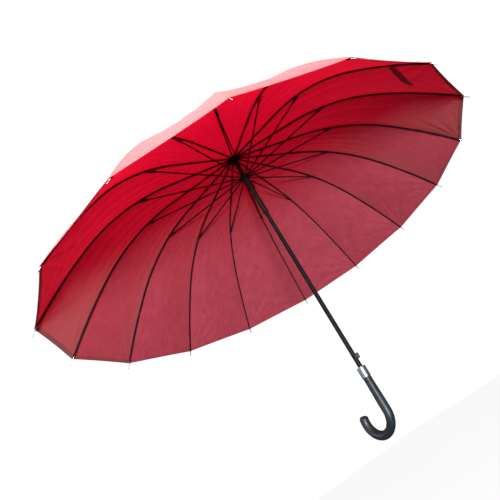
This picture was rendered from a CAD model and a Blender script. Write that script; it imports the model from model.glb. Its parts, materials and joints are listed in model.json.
import json
import math
from random import Random

import bpy
import numpy as np
from mathutils import Matrix, Vector

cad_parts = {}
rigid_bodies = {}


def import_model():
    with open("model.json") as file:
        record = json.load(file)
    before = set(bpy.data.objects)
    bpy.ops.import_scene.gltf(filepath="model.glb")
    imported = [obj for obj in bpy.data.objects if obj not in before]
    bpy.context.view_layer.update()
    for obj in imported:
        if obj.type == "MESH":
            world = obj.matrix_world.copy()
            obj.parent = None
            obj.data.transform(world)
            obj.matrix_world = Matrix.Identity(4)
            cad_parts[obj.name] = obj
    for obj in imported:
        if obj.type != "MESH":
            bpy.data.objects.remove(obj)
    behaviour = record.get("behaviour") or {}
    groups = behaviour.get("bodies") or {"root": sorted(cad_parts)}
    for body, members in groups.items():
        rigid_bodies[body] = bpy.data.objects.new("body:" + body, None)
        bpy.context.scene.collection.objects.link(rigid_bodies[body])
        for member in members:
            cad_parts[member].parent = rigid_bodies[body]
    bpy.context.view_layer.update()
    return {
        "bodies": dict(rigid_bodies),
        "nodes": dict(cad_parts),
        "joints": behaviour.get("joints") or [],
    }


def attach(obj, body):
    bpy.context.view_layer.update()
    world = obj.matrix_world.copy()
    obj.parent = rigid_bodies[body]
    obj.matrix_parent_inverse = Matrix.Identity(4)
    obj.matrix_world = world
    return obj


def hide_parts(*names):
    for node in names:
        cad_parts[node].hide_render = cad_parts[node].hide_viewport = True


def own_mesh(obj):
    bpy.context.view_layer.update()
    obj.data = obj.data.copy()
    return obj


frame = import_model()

# ---- Driving dimensions ---------------------------------------------------------------

APEX_Z = 0.6626                  # where the ribs' outer edges would meet on the axis
CANOPY_RADIUS = 0.515            # from the shaft to a corner of the canopy
CLOTH_INNER_RADIUS = 0.014
CLOTH_LIFT = 0.00105             # middle of the cloth above the ribs' outer edge
DRIVE_PIN_Z = 0.587               # the pin that links the runner to the spring

# An open rib is straight from the crown, then bends, then is almost straight again.
ROOT_SLOPE = math.radians(9.9)
BEND_START_RADIUS = 0.175
BEND_ARC = 0.434
BEND_END_RADIUS = 0.385
OUTER_ARC = 1.089

RIB_WIDTH = 0.0026
RIB_DEPTH = 0.0032
TIP_START_RADIUS = CANOPY_RADIUS - 0.0028   # where a rib's bright tip begins
RIVET_START = 0.0014             # a rivet stands out of its rib past this, to each side
DRIVE_PIN_REACH = 0.00089        # faces this close to the drive pin's axis are the pin's

SAG = 0.013                      # how far a panel's middle is pulled in between its ribs
HEM_RISE = 0.001                 # how far the hem curves up between two corners
HEM_WIDTH = 0.008
HEM_GAP = 0.0007
SEAM_WIDTH = 0.0025              # the double cloth on each side of a seam
SEAM_STITCH = SEAM_WIDTH - 0.0005   # the seam's stitches, from the rib's middle
HEM_STITCH = 0.85 * HEM_WIDTH    # the hem's stitches, from its edge
STITCH_PITCH = 0.003
WEAVE_PITCH = 0.0007

FOLD_REACH = 0.045               # how far the tension folds run from a panel's corner
STREAK_HEIGHT = 0.00022
CREASE_HEIGHT = 0.0005
CREASE_WIDTH = 0.008
PANEL_SEED = 1000

STRAP_RIB = 2                    # the strap is sewn into this rib's seam
STRAP_RADIUS = 0.454             # the rib's radius where the strap crosses it
STRAP_WIDTH = 0.016
STRAP_LENGTH = 0.110
STRAP_THICKNESS = 0.0009
STRAP_LIFT = 0.0014              # middle of the strap above the cloth

TIE_RADII = (0.155, 0.335, 0.430, 0.508)   # where thread ties the cloth to each rib
THREAD_RADIUS = 0.0003
THREAD_PITCH = 2.1 * THREAD_RADIUS
FINISH_GRAIN = 0.0006            # size of the grain on painted and moulded parts
NOISE_LOW, NOISE_HIGH = 0.3, 0.7   # most of a noise texture's values lie between these

COLUMNS = 22                     # cloth quads from a rib to the middle of a panel
ROWS = 120                       # cloth quads from the crown to the hem

FLOOR_Z = -0.62
FLOOR_HALF_SIZE = 14.0

RIB_AZIMUTH = {
    int(joint["name"][-2:]): math.atan2(-joint["axis"][0], joint["axis"][1])
    for joint in frame["joints"]
    if joint["name"].startswith("rib_hinge_")
}
RIB_COUNT = len(RIB_AZIMUTH)
HALF_PITCH = math.pi / RIB_COUNT

STRAIGHT_LENGTH = BEND_START_RADIUS / math.cos(ROOT_SLOPE)
BEND_END_SLOPE = math.asin((BEND_END_RADIUS - BEND_START_RADIUS) / BEND_ARC + math.sin(ROOT_SLOPE))
BEND_LENGTH = BEND_ARC * (BEND_END_SLOPE - ROOT_SLOPE)


def distance_at(radius):
    """Distance along an open rib from the shaft's axis, at a radius."""
    if radius <= BEND_START_RADIUS:
        return radius / math.cos(ROOT_SLOPE)
    if radius <= BEND_END_RADIUS:
        slope = math.asin((radius - BEND_START_RADIUS) / BEND_ARC + math.sin(ROOT_SLOPE))
        return STRAIGHT_LENGTH + BEND_ARC * (slope - ROOT_SLOPE)
    slope = math.asin((radius - BEND_END_RADIUS) / OUTER_ARC + math.sin(BEND_END_SLOPE))
    return STRAIGHT_LENGTH + BEND_LENGTH + OUTER_ARC * (slope - BEND_END_SLOPE)


def rib_line(distance):
    """Radius, height and slope of an open rib's outer edge, at distances along it."""
    straight = np.minimum(distance, STRAIGHT_LENGTH)
    bent = ROOT_SLOPE + np.clip(distance - STRAIGHT_LENGTH, 0, BEND_LENGTH) / BEND_ARC
    slope = bent + np.maximum(distance - STRAIGHT_LENGTH - BEND_LENGTH, 0) / OUTER_ARC
    radius = (straight * math.cos(ROOT_SLOPE) + BEND_ARC * (np.sin(bent) - math.sin(ROOT_SLOPE))
              + OUTER_ARC * (np.sin(slope) - np.sin(bent)))
    height = (APEX_Z - straight * math.sin(ROOT_SLOPE)
              + BEND_ARC * (np.cos(bent) - math.cos(ROOT_SLOPE))
              + OUTER_ARC * (np.cos(slope) - np.cos(bent)))
    return radius, height, slope


CLOTH_START = distance_at(CLOTH_INNER_RADIUS)
CLOTH_LENGTH = distance_at(CANOPY_RADIUS) - CLOTH_START


def place_in_scene(name, data):
    """A new object in the scene that shows a mesh, light or camera."""
    placed = bpy.data.objects.new(name, data)
    bpy.context.scene.collection.objects.link(placed)
    return placed


# ---- Materials ------------------------------------------------------------------------

def new_material(name):
    """A new material with its node tree and its Principled shader."""
    material = bpy.data.materials.new(name)
    material.use_nodes = True
    tree = material.node_tree
    return material, tree, tree.nodes["Principled BSDF"]


def coordinates(tree, kind, stretch=(1, 1, 1)):
    """Texture coordinates in metres, stretched along their axes."""
    source = tree.nodes.new("ShaderNodeTexCoord")
    mapping = tree.nodes.new("ShaderNodeMapping")
    mapping.inputs["Scale"].default_value = stretch
    tree.links.new(source.outputs[kind], mapping.inputs["Vector"])
    return mapping.outputs["Vector"]


def noise(tree, vector, scale, detail=3.0, roughness=0.55):
    """Value of a noise texture."""
    texture = tree.nodes.new("ShaderNodeTexNoise")
    texture.inputs["Scale"].default_value = scale
    texture.inputs["Detail"].default_value = detail
    texture.inputs["Roughness"].default_value = roughness
    tree.links.new(vector, texture.inputs["Vector"])
    return texture.outputs["Fac"]


def wave(tree, vector, direction, period):
    """Value of parallel bands of a given period, in metres."""
    texture = tree.nodes.new("ShaderNodeTexWave")
    texture.bands_direction = direction
    texture.inputs["Scale"].default_value = math.pi / 10 / period
    tree.links.new(vector, texture.inputs["Vector"])
    return texture.outputs["Fac"]


def ramp(tree, value, low, high, low_at=NOISE_LOW, high_at=NOISE_HIGH):
    """Colour that runs from low to high as a value grows."""
    blend = tree.nodes.new("ShaderNodeValToRGB")
    blend.color_ramp.elements[0].position = low_at
    blend.color_ramp.elements[0].color = (*low, 1)
    blend.color_ramp.elements[1].position = high_at
    blend.color_ramp.elements[1].color = (*high, 1)
    tree.links.new(value, blend.inputs["Fac"])
    return blend.outputs["Color"]


def remap(tree, value, low, high):
    """Number that runs from low to high as a noise's value grows."""
    node = tree.nodes.new("ShaderNodeMapRange")
    node.inputs["From Min"].default_value = NOISE_LOW
    node.inputs["From Max"].default_value = NOISE_HIGH
    node.inputs["To Min"].default_value = low
    node.inputs["To Max"].default_value = high
    tree.links.new(value, node.inputs["Value"])
    return node.outputs["Result"]


def maths(tree, operation, first, second):
    """Result of a Math node; each input is a socket or a number."""
    node = tree.nodes.new("ShaderNodeMath")
    node.operation = operation
    for socket, value in zip(node.inputs, (first, second)):
        if isinstance(value, (int, float)):
            socket.default_value = value
        else:
            tree.links.new(value, socket)
    return node.outputs["Value"]


def bump(tree, height, distance, strength=1.0, below=None):
    """Normal of a bump map, on top of another one if it is given."""
    node = tree.nodes.new("ShaderNodeBump")
    node.inputs["Distance"].default_value = distance
    node.inputs["Strength"].default_value = strength
    tree.links.new(height, node.inputs["Height"])
    if below is not None:
        tree.links.new(below, node.inputs["Normal"])
    return node.outputs["Normal"]


def hard_finish(name, dark, light, roughness, metallic=0.0, coat=0.0, specular=0.5):
    """Paint, metal or plastic with a faint mottle, uneven gloss and a fine grain."""
    material, tree, shader = new_material(name)
    place = coordinates(tree, "Object")
    mottle = noise(tree, place, scale=60, detail=5)
    tree.links.new(ramp(tree, mottle, dark, light), shader.inputs["Base Color"])
    wear = noise(tree, place, scale=180, detail=6, roughness=0.7)
    tree.links.new(remap(tree, wear, *roughness), shader.inputs["Roughness"])
    grain = noise(tree, place, scale=1 / FINISH_GRAIN, detail=2)
    relief = bump(tree, grain, distance=0.000008, strength=0.5)
    tree.links.new(relief, shader.inputs["Normal"])
    shader.inputs["Metallic"].default_value = metallic
    shader.inputs["Specular IOR Level"].default_value = specular
    shader.inputs["Coat Weight"].default_value = coat
    return material


def brushed_metal(name):
    """Satin metal brushed along the shaft."""
    material, tree, shader = new_material(name)
    lengthwise = coordinates(tree, "Object", stretch=(1, 1, 0.03))
    streaks = noise(tree, lengthwise, scale=2600, detail=4, roughness=0.7)
    cloud = noise(tree, coordinates(tree, "Object"), scale=90, detail=3)
    tree.links.new(ramp(tree, streaks, (0.28, 0.32, 0.35), (0.45, 0.50, 0.54)),
                   shader.inputs["Base Color"])
    tree.links.new(remap(tree, cloud, 0.40, 0.52), shader.inputs["Roughness"])
    tree.links.new(bump(tree, streaks, distance=0.000006, strength=0.6), shader.inputs["Normal"])
    shader.inputs["Metallic"].default_value = 1.0
    return material


def handle_cover(name):
    """Satin blue-black cover with a fine leather-like grain."""
    material, tree, shader = new_material(name)
    place = coordinates(tree, "Object")
    cells = tree.nodes.new("ShaderNodeTexVoronoi")
    cells.inputs["Scale"].default_value = 1400
    tree.links.new(place, cells.inputs["Vector"])
    cloud = noise(tree, place, scale=45, detail=4)
    tree.links.new(ramp(tree, cloud, (0.010, 0.015, 0.021), (0.020, 0.028, 0.038)),
                   shader.inputs["Base Color"])
    tree.links.new(remap(tree, cloud, 0.38, 0.50), shader.inputs["Roughness"])
    coarse = bump(tree, cells.outputs["Distance"], distance=0.00003, strength=0.35)
    fine = noise(tree, place, scale=3500, detail=2)
    relief = bump(tree, fine, distance=0.000006, strength=0.4, below=coarse)
    tree.links.new(relief, shader.inputs["Normal"])
    shader.inputs["Coat Weight"].default_value = 0.10
    shader.inputs["Coat Roughness"].default_value = 0.35
    return material


def stitches(tree, across, along, offset):
    """One where a row of thread stitches runs, at an offset from a seam, else zero.

    A stitch fills 0.72 of its pitch, and the rest is the gap to the next one.
    """
    distance = maths(tree, "ABSOLUTE", maths(tree, "SUBTRACT", across, offset), 0)
    row = maths(tree, "LESS_THAN", distance, THREAD_RADIUS)
    turn = maths(tree, "FRACT", maths(tree, "DIVIDE", along, STITCH_PITCH), 0)
    dash = maths(tree, "LESS_THAN", turn, 0.72)
    return maths(tree, "MULTIPLY", row, dash)


def woven_cloth(name, shade=1.0, translucent=0.19):
    """Thin red polyester: a plain weave that glows where light comes through it.

    Its UV map is in metres: across is measured from the rib, along from the hem.
    """
    material, tree, shader = new_material(name)
    place = coordinates(tree, "UV")
    axes = tree.nodes.new("ShaderNodeSeparateXYZ")
    tree.links.new(place, axes.inputs["Vector"])
    from_rib = maths(tree, "ABSOLUTE", axes.outputs["X"], 0)
    along = axes.outputs["Y"]

    warp = wave(tree, place, "X", WEAVE_PITCH)
    weft = wave(tree, place, "Y", WEAVE_PITCH)
    weave = maths(tree, "MULTIPLY", warp, weft)
    lengthwise = coordinates(tree, "UV", stretch=(1, 0.04, 1))
    slub = maths(tree, "MULTIPLY", noise(tree, lengthwise, scale=900, detail=3), 0.45)
    grain = maths(tree, "MULTIPLY", noise(tree, place, scale=420, detail=2), 0.40)
    around = coordinates(tree, "Object")
    cloud = maths(tree, "MULTIPLY", noise(tree, around, scale=30, detail=4), 0.15)
    tone = maths(tree, "ADD", maths(tree, "ADD", slub, grain), cloud)
    colour = ramp(tree, tone, (0.30 * shade, 0.044 * shade, 0.068 * shade),
                  (0.55 * shade, 0.084 * shade, 0.126 * shade), low_at=0.40, high_at=0.60)

    seam_thread = stitches(tree, from_rib, along, SEAM_STITCH)
    hem_thread = stitches(tree, along, axes.outputs["X"], HEM_STITCH)
    thread = maths(tree, "MAXIMUM", seam_thread, hem_thread)
    threaded = tree.nodes.new("ShaderNodeMix")
    threaded.data_type = "RGBA"
    threaded.inputs["B"].default_value = (0.28 * shade, 0.020, 0.036, 1)
    tree.links.new(thread, threaded.inputs["Factor"])
    tree.links.new(colour, threaded.inputs["A"])
    tree.links.new(threaded.outputs["Result"], shader.inputs["Base Color"])

    tree.links.new(remap(tree, tone, 0.46, 0.60), shader.inputs["Roughness"])
    shader.inputs["Specular IOR Level"].default_value = 0.2
    shader.inputs["Sheen Weight"].default_value = 0.38
    shader.inputs["Sheen Roughness"].default_value = 0.42
    shader.inputs["Sheen Tint"].default_value = (1.0, 0.90, 0.82, 1)
    weave_relief = bump(tree, weave, distance=0.00003, strength=0.5)
    relief = bump(tree, thread, distance=0.0002, strength=0.6, below=weave_relief)
    tree.links.new(relief, shader.inputs["Normal"])

    double = maths(tree, "LESS_THAN", from_rib, SEAM_WIDTH)
    glow = tree.nodes.new("ShaderNodeMix")
    glow.data_type = "RGBA"
    tree.links.new(maths(tree, "MAXIMUM", double, thread), glow.inputs["Factor"])
    tree.links.new(ramp(tree, tone, (0.74 * shade, 0.0, 0.024), (0.92 * shade, 0.0, 0.040)),
                   glow.inputs["A"])
    glow.inputs["B"].default_value = (0.42 * shade, 0.0, 0.006, 1)
    through = tree.nodes.new("ShaderNodeBsdfTranslucent")
    tree.links.new(glow.outputs["Result"], through.inputs["Color"])
    tree.links.new(relief, through.inputs["Normal"])
    mix = tree.nodes.new("ShaderNodeMixShader")
    mix.inputs["Fac"].default_value = translucent
    tree.links.new(shader.outputs["BSDF"], mix.inputs[1])
    tree.links.new(through.outputs["BSDF"], mix.inputs[2])
    tree.links.new(mix.outputs["Shader"], tree.nodes["Material Output"].inputs["Surface"])
    return material


BLACK_STEEL = hard_finish("black_steel", (0.004, 0.005, 0.006), (0.012, 0.012, 0.014),
                          (0.34, 0.50), coat=0.1, specular=0.35)
SHAFT_PAINT = hard_finish("shaft_paint", (0.006, 0.007, 0.008), (0.014, 0.015, 0.017),
                          (0.34, 0.46), specular=0.14)
BLACK_PLASTIC = hard_finish("black_plastic", (0.006, 0.007, 0.007), (0.016, 0.016, 0.015),
                            (0.30, 0.48), specular=0.3)
BUTTON_PLASTIC = hard_finish("button_plastic", (0.045, 0.047, 0.050), (0.075, 0.078, 0.082),
                             (0.35, 0.50))
BRIGHT_STEEL = hard_finish("bright_steel", (0.55, 0.56, 0.57), (0.78, 0.79, 0.80),
                           (0.14, 0.30), metallic=1.0)
NICKEL = hard_finish("nickel", (0.66, 0.67, 0.68), (0.86, 0.87, 0.88),
                     (0.20, 0.34), metallic=1.0)
SATIN_METAL = brushed_metal("satin_metal")
HANDLE_COVER = handle_cover("handle_cover")
CANOPY_CLOTH = woven_cloth("canopy_cloth")
STRAP_CLOTH = woven_cloth("strap_cloth", shade=0.85, translucent=0.10)
TIE_THREAD = hard_finish("tie_thread", (0.10, 0.004, 0.010), (0.24, 0.010, 0.022), (0.5, 0.7))


# ---- CAD nodes ------------------------------------------------------------------------

def finish_node(node, *materials):
    """Gives a CAD node its materials; faces use the first one until told otherwise."""
    mesh = frame["nodes"][node].data
    mesh.materials.clear()
    for material in materials:
        mesh.materials.append(material)
    return mesh


def face_centres(mesh):
    """Middle of each face, as rows of X, Y and Z."""
    centres = np.empty(len(mesh.polygons) * 3)
    mesh.polygons.foreach_get("center", centres)
    return centres.reshape(-1, 3)


def lateral_direction(azimuth):
    """Unit vector square to a rib and level with the ground."""
    return np.array([-math.sin(azimuth), math.cos(azimuth), 0.0])


def finish_rib(number):
    """Black channel with a bright tip and a bright rivet at the stretcher's joint."""
    mesh = finish_node(f"rib_{number:02d}", BLACK_STEEL, NICKEL, BRIGHT_STEEL)
    centres = face_centres(mesh)
    outward = np.hypot(centres[:, 0], centres[:, 1])
    lateral = np.abs(centres @ lateral_direction(RIB_AZIMUTH[number]))
    index = np.zeros(len(centres), np.int32)
    index[outward > TIP_START_RADIUS] = 1
    index[(lateral > RIVET_START) & (index == 0)] = 2
    mesh.polygons.foreach_set("material_index", index)


def finish_runner():
    """Black plastic sleeve with its bright drive pin."""
    mesh = finish_node("runner", BLACK_PLASTIC, BRIGHT_STEEL)
    centres = face_centres(mesh)
    on_pin = np.hypot(centres[:, 0], centres[:, 2] - DRIVE_PIN_Z) < DRIVE_PIN_REACH
    mesh.polygons.foreach_set("material_index", on_pin.astype(np.int32))


def finish_cad_nodes():
    """Materials for every CAD node that isn't replaced."""
    finish_node("shaft", SHAFT_PAINT)
    finish_node("handle", HANDLE_COVER)
    finish_node("collar", SATIN_METAL)
    finish_node("crown", BLACK_PLASTIC)
    finish_node("crown_wire", BRIGHT_STEEL)
    finish_node("runner_wire", BRIGHT_STEEL)
    finish_node("rosette", BLACK_PLASTIC)
    finish_node("spike", SHAFT_PAINT)
    finish_node("release_button", BUTTON_PLASTIC)
    finish_runner()
    for number in RIB_AZIMUTH:
        finish_node(f"stretcher_{number:02d}", BLACK_STEEL)
        finish_rib(number)


def make_spring_coil():
    """The opening spring again, as a piece that shortens as the runner comes down."""
    mesh = frame["nodes"]["opening_spring"].data.copy()
    mesh.name = "spring_coil"
    mesh.materials.clear()
    mesh.materials.append(BRIGHT_STEEL)
    coil = place_in_scene("spring_coil", mesh)
    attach(coil, "shaft_assembly")
    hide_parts("opening_spring")
    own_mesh(coil)


# ---- Canopy ---------------------------------------------------------------------------

def corner_folds(dice):
    """Size, count and turn of the tension folds that fan out from one corner of a panel."""
    return dice.uniform(0.0009, 0.0021), dice.uniform(2.6, 4.4), dice.uniform(0, 2 * math.pi)


def panel_character(panel):
    """The chances of one panel: its corner folds, its lengthwise streaks and its crease."""
    dice = Random(PANEL_SEED + panel)
    return {
        "corners": {-1: corner_folds(dice), 1: corner_folds(dice)},
        "streaks": [(dice.uniform(2.0, 6.5), dice.uniform(0, 6.3), dice.uniform(-1.5, 1.5))
                    for _ in range(4)],
        "crease": (dice.uniform(-0.45, 0.45), dice.uniform(0.45, 0.85), dice.uniform(-0.5, 0.5)),
    }


def panel_relief(character, lateral, share, half_width):
    """Height of the folds of a panel above its smooth shape; places as in panel_points."""
    from_hem = (1 - share) * CLOTH_LENGTH
    relief = np.zeros_like(share)
    for corner, (size, count, turn) in character["corners"].items():
        from_rib = (1 - corner * lateral) * half_width
        reach = np.hypot(from_hem, from_rib)
        angle = np.arctan2(from_rib, from_hem)
        ridge = np.exp(2.5 * (np.cos(4 * count * angle + turn) - 1)) - 0.3
        relief += size * ridge * reach / FOLD_REACH * np.exp(1 - reach / FOLD_REACH)
    for count, turn, drift in character["streaks"]:
        wave_here = np.cos(math.pi * count * lateral + turn + drift * share)
        relief += STREAK_HEIGHT * wave_here * np.sin(math.pi * share) ** 2
    at_lateral, at_share, slant = character["crease"]
    across = (lateral - at_lateral) / 0.30
    along = (share - at_share - 0.05 * slant * (lateral - at_lateral)) / CREASE_WIDTH
    relief += CREASE_HEIGHT * np.exp(-across**2 - along**2)
    clear_of_seams = np.clip(3 * (1 - lateral**2), 0, 1)
    clear_of_crown = np.clip(share * 8, 0, 1)
    return relief * clear_of_seams * clear_of_crown


def panel_points(panel, lateral, share, raised=0.0):
    """Points of a panel of the canopy, and half its width there.

    Between two ribs the cloth is stretched nearly straight across, so that its curve there is
    the ribs' line moved in, with a little sag. lateral runs from -1 at the panel's first rib
    to 1 at its second, share from 0 at the crown to 1 at the hem.
    """
    bow = 1 - lateral**2
    distance = CLOTH_START + share * (CLOTH_LENGTH - bow * HEM_RISE)
    radius, height, slope = rib_line(distance)
    half_width = radius * math.sin(HALF_PITCH)
    sag = SAG * bow * share**1.5 * (1 - 0.9 * share**4)
    lift = panel_relief(panel_character(panel), lateral, share, half_width) - sag + raised
    outward = radius * math.cos(HALF_PITCH) + (CLOTH_LIFT + lift) * np.sin(slope)
    sideways = lateral * half_width
    middle = RIB_AZIMUTH[panel] + HALF_PITCH
    points = np.stack([
        outward * math.cos(middle) - sideways * math.sin(middle),
        outward * math.sin(middle) + sideways * math.cos(middle),
        height + (CLOTH_LIFT + lift) * np.cos(slope),
    ], axis=-1)
    return points, half_width


def cloth_grid(number, side):
    """Points of the cloth from a rib to the middle of the panel beside it, as rows by columns."""
    panel = number if side > 0 else (number - 2) % RIB_COUNT + 1
    share, across = np.meshgrid(np.linspace(0, 1, ROWS + 1), np.linspace(0, 1, COLUMNS + 1),
                                indexing="ij")
    points, half_width = panel_points(panel, -side * (1 - across), share)
    uv = np.stack([side * across * half_width, (1 - share) * CLOTH_LENGTH], axis=-1)
    return points, uv, side * across


def with_hem(points, uv, across):
    """Adds the strip of cloth that is turned in under the hem."""
    inwards = -points[-1] / np.linalg.norm(points[-1], axis=1, keepdims=True)
    row_length = CLOTH_LENGTH / ROWS
    back = HEM_WIDTH / row_length
    upper = int(back)
    inner_edge = points[-1 - upper] + (points[-2 - upper] - points[-1 - upper]) * (back - upper)
    turned = np.stack([points[-1] + HEM_GAP * inwards, inner_edge + HEM_GAP * inwards])
    turned_uv = np.stack([uv[-1], uv[-1] + (0, HEM_WIDTH)])
    return (np.concatenate([points, turned]), np.concatenate([uv, turned_uv]),
            np.concatenate([across, across[-1:], across[-1:]]))


def grid_mesh(name, points, uv, material):
    """Mesh of quads over a grid of points, its faces turned outwards."""
    rows, columns = points.shape[:2]
    corner = np.arange(rows * columns).reshape(rows, columns)
    faces = np.stack([corner[:-1, :-1], corner[1:, :-1], corner[1:, 1:], corner[:-1, 1:]],
                     axis=-1).reshape(-1, 4)
    mesh = bpy.data.meshes.new(name)
    mesh.from_pydata(points.reshape(-1, 3).tolist(), [], faces.tolist())
    layer = mesh.uv_layers.new(name="cloth")
    layer.data.foreach_set("uv", uv.reshape(-1, 2)[faces.ravel()].ravel())
    mesh.polygons.foreach_set("use_smooth", np.ones(len(faces), bool))
    mesh.set_sharp_from_angle(angle=math.radians(50))
    mesh.materials.append(material)
    mesh.validate()
    return place_in_scene(name, mesh)


def follow_neighbour(piece, neighbour, group_name, vertices_and_shares):
    """The cloth half way to the next rib is carried by both ribs alike."""
    group = piece.vertex_groups.new(name=group_name)
    for vertices, share in vertices_and_shares:
        group.add(vertices, share, "REPLACE")
    hook = piece.modifiers.new(group_name, "HOOK")
    hook.object = frame["bodies"][f"rib_arm_{neighbour:02d}"]
    hook.vertex_group = group_name
    hook.falloff_type = "NONE"
    hook.strength = 1.0
    hook.matrix_inverse = Matrix.Identity(4)


def make_canopy_piece(number):
    """The cloth over one rib: half a panel on each side of it."""
    left = cloth_grid(number, -1)
    right = cloth_grid(number, 1)
    joined = [np.concatenate([a[:, :0:-1], b], axis=1) for a, b in zip(left, right)]
    points, uv, across = with_hem(*joined)
    piece = grid_mesh(f"cloth_{number:02d}", points, uv, CANOPY_CLOTH)
    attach(piece, f"rib_arm_{number:02d}")
    index = np.arange(across.size).reshape(across.shape)
    for side, name in ((1, "towards_next"), (-1, "towards_previous")):
        neighbour = (number - 1 + side) % RIB_COUNT + 1
        columns = [column for column in range(across.shape[1]) if side * across[0, column] > 0]
        shares = [(index[:, column].tolist(), abs(across[0, column]) / 2) for column in columns]
        follow_neighbour(piece, neighbour, name, shares)
    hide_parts(f"canopy_{number:02d}")


def make_strap():
    """Closing strap: a double band of cloth on the outside, sewn into a seam at one end."""
    rows, columns = 40, 8
    run, across = np.meshgrid(np.linspace(0, 1, rows + 1), np.linspace(-1, 1, columns + 1),
                              indexing="ij")
    to_end = (1 - run) * STRAP_LENGTH
    round_off = 0.3 * STRAP_WIDTH
    narrowed = round_off * (1 - np.sqrt(1 - np.clip(1 - to_end / round_off, 0, 1)**2))
    along_rib = across * (STRAP_WIDTH / 2 - narrowed)
    share = (distance_at(STRAP_RADIUS) - along_rib - CLOTH_START) / CLOTH_LENGTH
    panel_half_width = STRAP_RADIUS * math.sin(HALF_PITCH)
    lateral = -0.99 + run * STRAP_LENGTH / panel_half_width
    points, _ = panel_points(STRAP_RIB, lateral, share, STRAP_LIFT)
    clear_of_seam, clear_of_hem = 0.010, 0.020
    uv = np.stack([clear_of_seam + run * STRAP_LENGTH, clear_of_hem + along_rib], axis=-1)
    strap = grid_mesh("strap_band", points, uv, STRAP_CLOTH)
    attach(strap, f"rib_arm_{STRAP_RIB:02d}")
    index = np.arange(run.size).reshape(run.shape)
    shares = [(index[row].tolist(), (1 + lateral[row, 0]) / 2) for row in range(rows + 1)]
    follow_neighbour(strap, STRAP_RIB + 1, "towards_next", shares)
    thickness = strap.modifiers.new("two_layers", "SOLIDIFY")
    thickness.thickness = STRAP_THICKNESS
    thickness.offset = 0
    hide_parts("closing_strap")


def thread_loop(centre, along, outward, lateral, turns=3, points_in_turn=18, sides=6):
    """Vertices and faces of a thread wound a few times round a rib's squared section."""
    vertices, faces = [], []
    steps = turns * points_in_turn
    for step in range(steps + 1):
        angle = 2 * math.pi * step / points_in_turn
        cosine, sine = math.cos(angle), math.sin(angle)
        square = (abs(cosine)**4 + abs(sine)**4)**-0.25
        radial = lateral * cosine + outward * sine
        place = (centre + lateral * (cosine * square * (RIB_WIDTH / 2 + THREAD_RADIUS))
                 + outward * (sine * square * (RIB_DEPTH / 2 + THREAD_RADIUS))
                 + along * THREAD_PITCH * (step / points_in_turn - turns / 2))
        for corner in range(sides):
            turn = 2 * math.pi * corner / sides
            vertices.append(place + (radial * math.cos(turn) + along * math.sin(turn))
                            * THREAD_RADIUS)
    for step in range(steps):
        for corner in range(sides):
            after = (corner + 1) % sides
            first, second = step * sides, (step + 1) * sides
            faces.append((first + corner, first + after, second + after, second + corner))
    return vertices, faces


def make_rib_ties(number):
    """Thread that ties the cloth's seam to its rib in a few places."""
    azimuth = RIB_AZIMUTH[number]
    lateral = Vector(lateral_direction(azimuth))
    vertices, faces = [], []
    for tie_radius in TIE_RADII:
        radius, height, slope = (float(value) for value in rib_line(distance_at(tie_radius)))
        level = Vector((math.cos(azimuth), math.sin(azimuth), 0))
        outward = level * math.sin(slope) + Vector((0, 0, math.cos(slope)))
        along = level * math.cos(slope) - Vector((0, 0, math.sin(slope)))
        centre = level * radius + Vector((0, 0, height)) - outward * (RIB_DEPTH / 2 - THREAD_RADIUS)
        loop_vertices, loop_faces = thread_loop(centre, along, outward, lateral)
        faces += [[index + len(vertices) for index in face] for face in loop_faces]
        vertices += loop_vertices
    mesh = bpy.data.meshes.new(f"ties_{number:02d}")
    mesh.from_pydata(vertices, [], faces)
    mesh.polygons.foreach_set("use_smooth", np.ones(len(faces), bool))
    mesh.materials.append(TIE_THREAD)
    ties = place_in_scene(f"ties_{number:02d}", mesh)
    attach(ties, f"rib_arm_{number:02d}")


# ---- Stage, light and camera ----------------------------------------------------------

def make_floor():
    """Plain pale floor, well below the umbrella, which is held in the air."""
    mesh = bpy.data.meshes.new("floor")
    far = FLOOR_HALF_SIZE
    corners = [(-far, -far, FLOOR_Z), (far, -far, FLOOR_Z),
               (far, far, FLOOR_Z), (-far, far, FLOOR_Z)]
    mesh.from_pydata(corners, [], [(0, 1, 2, 3)])
    mesh.materials.append(floor_paper())
    place_in_scene("floor", mesh)


def floor_paper():
    """White paper that shows a soft shadow and throws little light back up."""
    material = bpy.data.materials.new("floor_paper")
    material.use_nodes = True
    tree = material.node_tree
    tree.nodes.clear()
    output = tree.nodes.new("ShaderNodeOutputMaterial")
    path = tree.nodes.new("ShaderNodeLightPath")
    glow = tree.nodes.new("ShaderNodeEmission")
    glow.inputs["Strength"].default_value = 0.93
    lit = tree.nodes.new("ShaderNodeBsdfDiffuse")
    lit.inputs["Color"].default_value = (0.10, 0.10, 0.10, 1)
    seen = tree.nodes.new("ShaderNodeAddShader")
    unseen = tree.nodes.new("ShaderNodeBsdfDiffuse")
    unseen.inputs["Color"].default_value = (0.04, 0.04, 0.04, 1)
    mix = tree.nodes.new("ShaderNodeMixShader")
    tree.links.new(glow.outputs["Emission"], seen.inputs[0])
    tree.links.new(lit.outputs["BSDF"], seen.inputs[1])
    tree.links.new(path.outputs["Is Camera Ray"], mix.inputs["Fac"])
    tree.links.new(unseen.outputs["BSDF"], mix.inputs[1])
    tree.links.new(seen.outputs["Shader"], mix.inputs[2])
    tree.links.new(mix.outputs["Shader"], output.inputs["Surface"])
    return material


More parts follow.
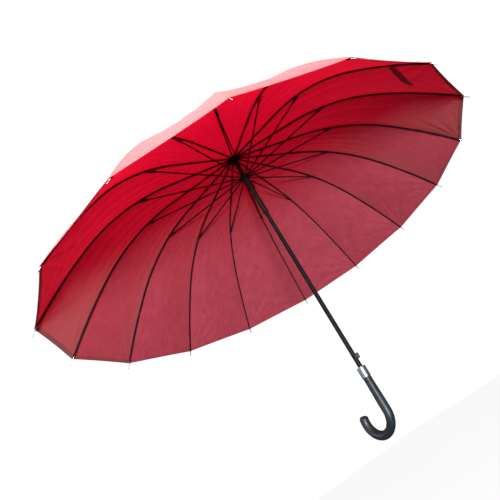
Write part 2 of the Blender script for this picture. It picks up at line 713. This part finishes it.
def make_world():
    """White backdrop for the camera, and softer light for everything else."""
    world = bpy.data.worlds.new("studio")
    bpy.context.scene.world = world
    world.use_nodes = True
    tree = world.node_tree
    seen = tree.nodes["Background"]
    seen.inputs["Color"].default_value = (1, 1, 1, 1)
    seen.inputs["Strength"].default_value = 1.05
    light = tree.nodes.new("ShaderNodeBackground")
    light.inputs["Color"].default_value = (0.96, 0.98, 1, 1)
    light.inputs["Strength"].default_value = 0.14
    path = tree.nodes.new("ShaderNodeLightPath")
    mix = tree.nodes.new("ShaderNodeMixShader")
    tree.links.new(path.outputs["Is Camera Ray"], mix.inputs["Fac"])
    tree.links.new(light.outputs["Background"], mix.inputs[1])
    tree.links.new(seen.outputs["Background"], mix.inputs[2])
    tree.links.new(mix.outputs["Shader"], tree.nodes["World Output"].inputs["Surface"])


def direction(azimuth, elevation):
    """Unit vector at an azimuth and an elevation, in degrees."""
    turn, rise = math.radians(azimuth), math.radians(elevation)
    return Vector((math.cos(turn) * math.cos(rise), math.sin(turn) * math.cos(rise),
                   math.sin(rise)))


def area_light(name, azimuth, elevation, distance, size, power, aim, colour=(1, 1, 1),
               spread=180):
    """Round soft light that looks at a point; angles are in degrees."""
    data = bpy.data.lights.new(name, "AREA")
    data.shape = "DISK"
    data.size = size
    data.energy = power
    data.spread = math.radians(spread)
    data.color = colour
    lamp = place_in_scene(name, data)
    away = direction(azimuth, elevation)
    lamp.location = Vector(aim) + away * distance
    lamp.rotation_mode = "QUATERNION"
    lamp.rotation_quaternion = away.to_track_quat("Z", "Y")


def make_lights():
    """A key from above that shines through the cloth, and softer lights around it."""
    canopy_middle = (0, 0, 0.5)
    grip = (0, 0, 0)
    area_light("key", azimuth=136, elevation=50, distance=1.35, size=0.8, power=12,
               aim=(-0.26, 0.25, 0.58), colour=(1.0, 0.95, 0.76), spread=60)
    area_light("top", azimuth=135, elevation=70, distance=3.2, size=2.0, power=45,
               aim=canopy_middle, colour=(1.0, 0.985, 0.95))
    area_light("fill", azimuth=142, elevation=-17, distance=2.8, size=0.5, power=115,
               aim=canopy_middle)
    area_light("handle_light", azimuth=60, elevation=25, distance=2.0, size=0.8, power=8,
               aim=grip)


def make_camera():
    """Low viewpoint beside the umbrella, turned about the line of sight."""
    place = Vector((-0.766, 0.734, -0.067))
    forward = direction(azimuth=-51.0, elevation=21.7)
    roll = math.radians(-34.1)
    level = forward.cross(Vector((0, 0, 1))).normalized()
    upright = level.cross(forward)
    right = level * math.cos(roll) + upright * math.sin(roll)
    up = right.cross(forward)
    data = bpy.data.cameras.new("camera")
    data.sensor_width = 36
    data.lens = 35.5
    data.shift_x = -0.1817
    data.shift_y = -0.0534
    data.clip_start = 0.01
    camera = place_in_scene("camera", data)
    rotation = Matrix((right, up, -forward)).transposed()
    camera.matrix_world = Matrix.Translation(place) @ rotation.to_4x4()
    bpy.context.scene.camera = camera


make_camera()
make_world()
make_lights()
make_floor()
finish_cad_nodes()
for number in RIB_AZIMUTH:
    make_canopy_piece(number)
    make_rib_ties(number)
make_strap()
make_spring_coil()
bpy.context.scene.view_settings.view_transform = "Standard"
